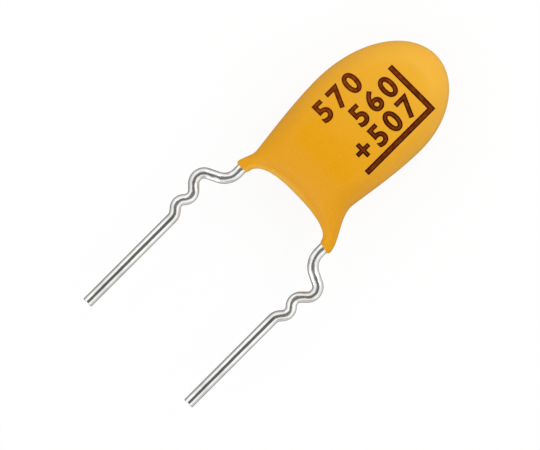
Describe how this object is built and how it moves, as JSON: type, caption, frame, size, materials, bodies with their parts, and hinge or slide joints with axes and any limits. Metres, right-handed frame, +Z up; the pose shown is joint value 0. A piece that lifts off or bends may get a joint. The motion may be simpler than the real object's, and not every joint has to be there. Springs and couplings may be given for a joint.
{
  "type": "tantalum capacitor",
  "caption": "Resin-dipped tantalum capacitor with a rounded golden bead body on a flat back and two tinned radial leads kinked to stop and lock in a circuit board.",
  "frame": {"origin": "middle of the part's box on the surface that it lies on, under the flat back of the coat", "axes": "+Z up out of the marked face, +Y along the body from the lead tips to the crown, +X across from the negative to the positive lead"},
  "size_m": [0.008, 0.0188, 0.0035],
  "materials": {
    "resin": "dipped epoxy resin, golden yellow-orange, satin gloss",
    "slug": "sintered tantalum with dark cathode layers, matt",
    "riser": "bare tantalum wire",
    "washer": "white fluoropolymer",
    "solder": "cast solder, dull silver",
    "tinned_wire": "bright tinned wire, drawn smooth"
  },
  "bodies": {
    "root": {"resin_coat": "resin", "anode_pellet": "slug", "riser_wire": "riser", "riser_washer": "washer", "cathode_solder": "solder", "positive_lead": "tinned_wire", "negative_lead": "tinned_wire"}
  },
  "joints": []
}
